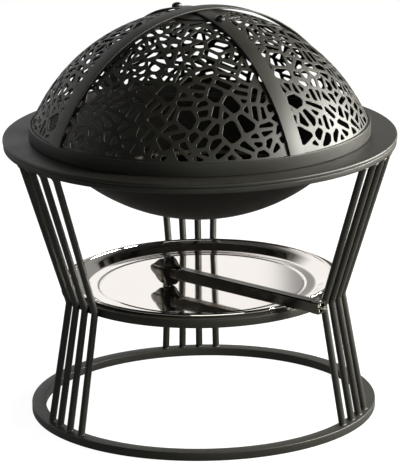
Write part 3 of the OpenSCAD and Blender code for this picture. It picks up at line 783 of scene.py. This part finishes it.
# Lengths run from the pin. taper: how much narrower the head's tip is than its middle; point: how pointed its
# outline is; scallopDepth: as a share of its half width; tipEnd and tipCrowding: where the rows of points
# nearest the tip stop, and how they crowd towards it; stub: the cut flanges, in bends
tongs = dict(turn=134 * degree, length=312 * mm, height=17 * mm, gap=1 * mm, depth=7.5 * mm, sheet=1.2 * mm,
             bend=2.1 * mm, headLength=62 * mm, headHeight=42 * mm, ball=64 * mm, scallops=4, scallopDepth=0.2,
             point=1.35, taper=0.45, headReach=21.28 * mm, rimCross=62.6 * mm, rimTop=195.3 * mm,
             flute=1 * mm, rib=0.7 * mm, ribNeck=8.5 * mm, ribTip=5 * mm, ribEdge=1.2 * mm,
             neckStart=248 * mm, neckEnd=266 * mm, flangeStart=7.9 * mm, flangeRamp=(-2 * mm, 1 * mm), stub=1.2,
             ear=6.4 * mm, earGap=0.3 * mm, tip=8 * mm, tipEnd=0.06, tipCrowding=1.6, rows=(90, 96, 36),
             columns=41)
pinBox = nodeBox("tong_pin")
pinAt = (pinBox[0] + pinBox[1]) / 2
# they lie on the tray's rim, where they cross it, and the heads rest on the tray's flat
headDrop = tongs["rimTop"] - tray["floorZ"] - tongs["headReach"] + tongs["height"] / 2
tongTilt = np.arcsin(headDrop / (tongs["length"] - tongs["headLength"] / 2 - tongs["rimCross"]))


def placeTongs(points):
    # from the tongs' own frame, pin at the origin and arms along X, to their place on the tray
    return turnAboutZ(leanAboutY(points, tongTilt), tongs["turn"]) + pinAt


def smooth(x, start, end):
    # 0 before the start, 1 after the end, and a smooth step between them
    s = np.clip((x - start) / (end - start), 0, 1)
    return s * s * (3 - 2 * s)


def armSkin():
    # The outside of one arm as a surface of two parameters, x along it and s across it. Along the arm the
    # section is a channel; over the neck it turns into a cup cut from a ball, with a scalloped edge.
    out, g, h = tongs["gap"] / 2 + tongs["depth"], tongs["gap"] / 2, tongs["height"] / 2
    arm, head, tip = tongs["rows"]
    tipStart = tongs["length"] - tongs["tip"]
    fromTip = tongs["tip"] * np.linspace(1, tongs["tipEnd"], tip)[1:] ** tongs["tipCrowding"]
    x = np.hstack([np.linspace(-tongs["ear"], tongs["neckStart"], arm),
                   np.linspace(tongs["neckStart"], tipStart, head)[1:], tongs["length"] - fromTip])
    s = np.linspace(-1, 1, tongs["columns"])
    channel = fillet(np.array([[g, -h], [out, -h], [out, h], [g, h]]), tongs["bend"], 9, closed=False)
    length = np.hstack([0, np.cumsum(np.linalg.norm(np.diff(channel, axis=0), axis=1))])
    # beside the hinge the channel's flanges are cut back nearly to their bends
    rampStart, rampEnd = np.array(tongs["flangeRamp"]) + tongs["flangeStart"]
    cut = (1 - smooth(x, rampStart, rampEnd))[:, None] * (out - tongs["stub"] * tongs["bend"] - g)
    at = cut + (s + 1) / 2 * (length[-1] - 2 * cut)
    armY, armZ = np.interp(at, length, channel[:, 0]), np.interp(at, length, channel[:, 1])
    middle, half = tongs["length"] - tongs["headLength"] / 2, tongs["headLength"] / 2
    share = np.clip((x - middle) / half, -1, 1)
    a = np.arccos(np.sign(share) * np.abs(share) ** (1 / tongs["point"]))
    wave = 1 - tongs["scallopDepth"] * np.sin(a) ** 2 * (1 - np.abs(np.sin(tongs["scallops"] * a)))
    headHalf = tongs["headHeight"] / 2 * wave * np.sin(a) ** tongs["point"] * (1 - tongs["taper"] * share)
    sag = tongs["ball"] - np.sqrt(tongs["ball"] ** 2 - half ** 2)
    headZ = headHalf[:, None] * s[None]
    inside = tongs["ball"] ** 2 - np.minimum(np.abs(x - middle), half)[:, None] ** 2 - headZ ** 2
    headY = g + sag - tongs["ball"] + np.sqrt(np.maximum(inside, 0))
    # the arm's web runs on as a rib over the head's first half, then as a low rib to the tip, and a
    # shallow flute leads to each scallop
    crest = g + sag - tongs["ball"] + np.sqrt(tongs["ball"] ** 2 - np.minimum(np.abs(x - middle), half) ** 2)
    rise = np.maximum(np.where(x < middle, out - crest, 0), tongs["rib"])
    ribHalf = (tongs["ribNeck"] + (tongs["ribTip"] - tongs["ribNeck"]) * (share + 1) / 2)[:, None]
    rib = 1 - smooth(np.abs(headZ), ribHalf - tongs["ribEdge"], ribHalf + tongs["ribEdge"])
    lobe = (np.abs(np.sin(tongs["scallops"] * a)) - 0.5) * np.sin(a)
    headY = np.maximum(headY + rise[:, None] * rib + tongs["flute"] * lobe[:, None] * s[None] ** 2, g)
    blend = smooth(x, tongs["neckStart"], tongs["neckEnd"])[:, None]
    return np.stack([x[:, None] + 0 * headZ, armY * (1 - blend) + headY * blend,
                     armZ * (1 - blend) + headZ * blend], 2)


def sheetFromSkin(skin, thickness):
    # the skin and a copy of it moved inwards along its own normals, with a rim between them
    normal = unit(np.cross(np.gradient(skin, axis=0), np.gradient(skin, axis=1)))
    if normal[..., 1].mean() < 0:
        normal = -normal
    inner = skin - normal * thickness
    rows, columns = skin.shape[:2]
    points = np.vstack([skin.reshape(-1, 3), inner.reshape(-1, 3)])
    index = np.arange(rows * columns).reshape(rows, columns)
    skinFaces = gridFaces(rows, columns, False, False)
    if np.cross(skin[1, 0] - skin[0, 0], skin[0, 1] - skin[0, 0])[1] > 0:
        skinFaces = skinFaces[:, ::-1]
    border = np.hstack([index[:, 0], index[-1, 1:], index[-2::-1, -1], index[0, -2:0:-1]])
    borderNext = np.roll(border, -1)
    count = rows * columns
    rim = np.stack([border, borderNext, borderNext + count, border + count], 1)
    return points, [*skinFaces.tolist(), *(skinFaces[:, ::-1] + count).tolist(), *rim.tolist()]


def earPlate(z):
    # a plate from the web to the pin, round at its end, with both edges square
    r, out, t = tongs["ear"], tongs["gap"] / 2 + tongs["depth"] - tongs["sheet"] / 2, tongs["sheet"]
    edge = np.vstack([[[-r, out]], arc((0, 0), r, np.pi, 2 * np.pi, 24), [[r, out]]])
    count = len(edge)
    bottom, top = np.hstack([edge, np.full((count, 1), z)]), np.hstack([edge, np.full((count, 1), z + t)])
    k = np.arange(count)
    around = np.stack([k, (k + 1) % count, (k + 1) % count + count, k + count], 1).tolist()
    return np.vstack([bottom, top]), [list(range(count))[::-1], [count + i for i in range(count)], *around]


def armShape(earZ, mirrored):
    # one pressed arm with its two plates; the other arm is its mirror image
    points, faces = join(sheetFromSkin(armSkin(), tongs["sheet"]), earPlate(earZ), earPlate(-earZ - tongs["sheet"]))
    if mirrored:
        points, faces = points * [1, -1, 1], [face[::-1] for face in faces]
    return placeTongs(points), faces


# rounds: the radii in mm at the corners of the pin's upper half, from its middle outwards
pin = dict(radius=2.5 * mm, room=0.1 * mm, head=4 * mm, cap=1 * mm, rounds=(0.1, 0.1, 0.4, 1, 0))


def tongPinShape():
    # a rivet with a shallow domed head at each end; its lower half mirrors the upper one
    half, head, cap = tongs["height"] / 2 + pin["room"], pin["head"], pin["cap"]
    upper = np.array([[pin["radius"], half], [head, half], [head, half + cap * 0.3],
                      [head * 0.6, half + cap * 0.85], [0, half + cap]])
    side = np.vstack([upper[::-1] * [1, -1], upper])
    rounds = np.array(pin["rounds"][::-1] + pin["rounds"]) * mm
    points, faces = lathe(fillet(side, rounds, 4, closed=False), 48)
    return points + pinAt, faces


spring = dict(wire=0.7 * mm, radius=3.6 * mm, turns=2.5, low=2.1 * mm, high=4.7 * mm, leg=22 * mm,
              legOut=5.7 * mm, legStart=1 * mm)


def springShape():
    # closed turns of wire round the pin, with a straight leg against each arm
    radius, low, high, start = spring["radius"], spring["low"], spring["high"], spring["legStart"]
    angle = np.linspace(np.pi / 2, np.pi / 2 + 2 * np.pi * spring["turns"], 150)
    coil = ringAt(radius, np.linspace(high, low, 150), angle)
    first = np.linspace([spring["leg"], spring["legOut"], high], [start, radius, high], 8)
    last = np.linspace([start, -radius, low], [spring["leg"], -spring["legOut"], low], 8)
    points, faces = tube(np.vstack([first, coil, last]), spring["wire"], np.array([0, 0, 1.0]), 10)
    return placeTongs(points), faces


tab = dict(sheet=2 * mm, width=10 * mm, out=16 * mm, length=44 * mm, corner=1.2 * mm, slot=2.8 * mm,
           travel=8 * mm, eye=2.4 * mm)


def tabShape():
    # a flat tab with round ends, a slot for the pin and a hole to hang the tongs by
    t, r, back = tab["sheet"], tab["width"] / 2, tab["length"] - tab["out"]
    eyeAt = -tab["out"] + r
    edge = np.vstack([arc((eyeAt, 0), r, np.pi / 2, 3 * np.pi / 2, 24), [[back, -r], [back, r]]])
    slot = np.vstack([arc((0, 0), tab["slot"], np.pi / 2, 3 * np.pi / 2, 18),
                      arc((tab["travel"], 0), tab["slot"], -np.pi / 2, np.pi / 2, 18)])
    eye = circleSection(tab["eye"]) + [eyeAt, 0]
    loops = [fillet(edge, np.hstack([np.zeros(24), tab["corner"], tab["corner"]]), 5), slot, eye]
    sizes = [len(loop) for loop in loops]
    flat = np.vstack(loops)
    triangles, edges = fillBetween(flat * 1000, sizes)
    n = len(flat)
    points = np.vstack([np.hstack([flat, np.full((n, 1), z)]) for z in (-t / 2, t / 2)])
    here, there = edges.T
    wall = np.stack([here, there, there + n, here + n], 1)
    wall[sizes[0]:] = wall[sizes[0]:, ::-1]
    return placeTongs(points), [*triangles[:, ::-1].tolist(), *(triangles + n).tolist(), *wall.tolist()]


earNear = tongs["height"] / 2 - tongs["sheet"]
addPiece("nearArm", armShape(earNear, False), tumbledStainless, "tong_near",
         ["tong_arm_near", "tong_sides_near"], 40)
addPiece("farArm", armShape(earNear - tongs["sheet"] - tongs["earGap"], True), tumbledStainless, "tong_far",
         ["tong_arm_far", "tong_sides_far"], 40)
addPiece("hingePin", tongPinShape(), brightSteel, "tongs", ["tong_pin"])
addPiece("armSpring", springShape(), brightSteel, "tongs", ["tong_spring"])
addPiece("lockTab", tabShape(), brightSteel, "tong_tab", ["tong_lock"])
print("tongs made")


# floor, background and light

# fades: for each axis of the world, where the wall's light starts and stops changing, and from what to what
studio = dict(floorSize=9.0, floorCells=23, floorDrop=0.05 * mm, floorColour="#f4f4f2", bounceColour="#666663",
              floorGlow=0.86, mirrorGlow=0.2, glowLevel=1.12, ambient=0.055,
              fades=dict(Y=(-0.1, 0.6, 0.03, 1.0), X=(0.0905, 0.1005, 1.0, 0.3), Z=(0.5, 0.72, 1.0, 0.05)))


def placement(place, right, up, back):
    # the matrix of a lamp or a camera: its place and its three axes
    return Matrix.Translation(place.tolist()) @ Matrix(np.stack([right, up, back], 1).tolist()).to_4x4()


def mirrorShare(tree, ray):
    # 1 for a reflection that the camera sees, 0 for one that lights a matt surface by way of a mirror
    direct = addNode(tree, "ShaderNodeMath", {1: 0.5}, {0: ray.outputs["Diffuse Depth"]}, operation="LESS_THAN")
    return addNode(tree, "ShaderNodeMath", {}, {0: ray.outputs["Is Glossy Ray"], 1: direct.outputs[0]},
                   operation="MULTIPLY").outputs[0]


def buildFloor():
    # A pale floor that is lit by the lamps, so the shadow stays. It is lifted towards white for the camera
    # and in reflections, and throws less light back at the object than it shows.
    n = studio["floorCells"] + 1
    edge = np.linspace(-1, 1, n) * studio["floorSize"] / 2
    x, y = np.meshgrid(edge, edge, indexing="ij")
    points = np.stack([x.ravel(), y.ravel(), 0 * x.ravel() - studio["floorDrop"]], 1)
    mesh = bpy.data.meshes.new("studioFloor")
    mesh.from_pydata(points.tolist(), [], gridFaces(n, n, False, False)[:, ::-1].tolist())
    material = bpy.data.materials.new("paleFloor")
    material.use_nodes = True
    tree = material.node_tree
    tree.nodes.clear()
    ray = addNode(tree, "ShaderNodeLightPath")
    tone = addNode(tree, "ShaderNodeMix", {6: hexColour(studio["bounceColour"]),
                   7: hexColour(studio["floorColour"])}, {0: ray.outputs["Is Camera Ray"]}, data_type="RGBA")
    plain = addNode(tree, "ShaderNodeBsdfDiffuse", {}, {"Color": tone.outputs[2]})
    white = addNode(tree, "ShaderNodeEmission", {"Color": (1, 1, 1, 1), "Strength": studio["glowLevel"]})
    mirrored = addNode(tree, "ShaderNodeMath", {1: studio["mirrorGlow"]}, {0: mirrorShare(tree, ray)},
                       operation="MULTIPLY")
    share = addNode(tree, "ShaderNodeMath", {1: studio["floorGlow"]},
                    {0: ray.outputs["Is Camera Ray"], 2: mirrored.outputs[0]}, operation="MULTIPLY_ADD")
    mixed = addNode(tree, "ShaderNodeMixShader", {},
                    {0: share.outputs[0], 1: plain.outputs[0], 2: white.outputs[0]})
    addNode(tree, "ShaderNodeOutputMaterial", {}, {"Surface": mixed.outputs[0]})
    mesh.materials.append(material)
    floor = bpy.data.objects.new("studioFloor", mesh)
    bpy.context.scene.collection.objects.link(floor)


def buildWorld():
    # The camera and transmission see white. Reflections see a white wall behind the object, which falls
    # off to grey past its right edge and ends at a dark ceiling, and a dark studio in front. Everything else
    # is lit by an even grey.
    world = bpy.data.worlds.new("studio")
    bpy.context.scene.world = world
    world.use_nodes = True
    tree = world.node_tree
    tree.nodes.clear()
    ray = addNode(tree, "ShaderNodeLightPath")
    direction = addNode(tree, "ShaderNodeTexCoord").outputs["Generated"]
    parts = addNode(tree, "ShaderNodeSeparateXYZ", {}, {0: direction})
    wall = None
    for axis, (start, end, first, last) in studio["fades"].items():
        fade = addNode(tree, "ShaderNodeMapRange", {"From Min": start, "From Max": end, "To Min": first,
                       "To Max": last}, {"Value": parts.outputs[axis]}, interpolation_type="SMOOTHSTEP")
        fade = fade.outputs["Result"]
        wall = fade if wall is None else addNode(tree, "ShaderNodeMath", {}, {0: wall, 1: fade},
                                                 operation="MULTIPLY").outputs[0]
    white = addNode(tree, "ShaderNodeMath", {}, {0: ray.outputs["Is Camera Ray"],
                    1: ray.outputs["Is Transmission Ray"]}, operation="MAXIMUM")
    glossy = addNode(tree, "ShaderNodeMix", {2: studio["ambient"]},
                     {0: mirrorShare(tree, ray), 3: wall}, data_type="FLOAT")
    level = addNode(tree, "ShaderNodeMix", {3: 1.0}, {0: white.outputs[0], 2: glossy.outputs[0]}, data_type="FLOAT")
    shade = addNode(tree, "ShaderNodeBackground", {"Color": (1, 1, 1, 1)}, {"Strength": level.outputs[0]})
    addNode(tree, "ShaderNodeOutputWorld", {}, {"Surface": shade.outputs[0]})


lampPlan = dict(
    rightBox=dict(towards=(0.93, 0.16, 0.24), distance=1.9, size=(1.2, 0.8), power=128, colour="#fffdf4"),
    rightFront=dict(towards=(0.86, -0.36, 0.4), distance=2.1, size=(0.5, 0.5), power=92, colour="#fffdf4"),
    leftBox=dict(towards=(-0.9, 0.2, 0.25), distance=2.4, size=(0.7, 1.2), power=2.5, colour="#fffdf8"),
    frontFill=dict(towards=(0.15, -1.0, 0.25), distance=3.0, size=(2.4, 1.6), power=26, colour="#fbfff8"))
lampTarget = np.array([0, 0, 0.42])


def buildLamps():
    # each lamp stands off from the target and faces it
    for name, plan in lampPlan.items():
        lamp = bpy.data.lights.new(name, "AREA")
        lamp.shape = "RECTANGLE"
        lamp.size, lamp.size_y = plan["size"]
        lamp.energy = plan["power"]
        lamp.color = hexColour(plan["colour"])[:3]
        holder = bpy.data.objects.new(name, lamp)
        back = unit(np.array(plan["towards"], float))
        side = unit(np.cross([0, 0, 1.0], back))
        holder.matrix_world = placement(lampTarget + back * plan["distance"], side, np.cross(back, side), back)
        bpy.context.scene.collection.objects.link(holder)


# The camera's place and frame: turn about Z, distance and height from the floor's centre, and where its
# axis meets the picture, in the picture's own 400 by 463 pixels. Its sensor's width is the long side.
view = dict(turn=-4.3875 * degree, distance=5.02897, eyeHeight=1.69577, pitch=0.27891, roll=0.0143, focal=3659.75,
            axisAt=(201.267, 234.377), width=400, height=463, sensor=36.0, clip=(0.05, 60))


def buildCamera():
    # looks along the turn, down by the pitch, and is then rolled about its own axis
    c, s = np.cos(-view["turn"]), np.sin(-view["turn"])
    cp, sp, cr, sr = np.cos(view["pitch"]), np.sin(view["pitch"]), np.cos(view["roll"]), np.sin(view["roll"])
    level, forward = np.array([c, -s, 0]), np.array([s * cp, c * cp, -sp])
    upright = np.array([s * sp, c * sp, cp])
    right, up = level * cr - upright * sr, level * sr + upright * cr
    data = bpy.data.cameras.new("photoCamera")
    camera = bpy.data.objects.new("photoCamera", data)
    place = np.array([-s * view["distance"], -c * view["distance"], view["eyeHeight"]])
    camera.matrix_world = placement(place, right, up, -forward)
    tall = view["height"]
    data.sensor_width = view["sensor"]
    data.lens = view["focal"] / tall * view["sensor"]
    data.shift_x = (view["width"] / 2 - view["axisAt"][0]) / tall
    data.shift_y = (view["axisAt"][1] - tall / 2) / tall
    data.clip_start, data.clip_end = view["clip"]
    bpy.context.scene.collection.objects.link(camera)
    bpy.context.scene.camera = camera


buildFloor()
buildWorld()
buildLamps()
buildCamera()
bpy.context.scene.view_settings.view_transform = "Standard"
print("studio made")
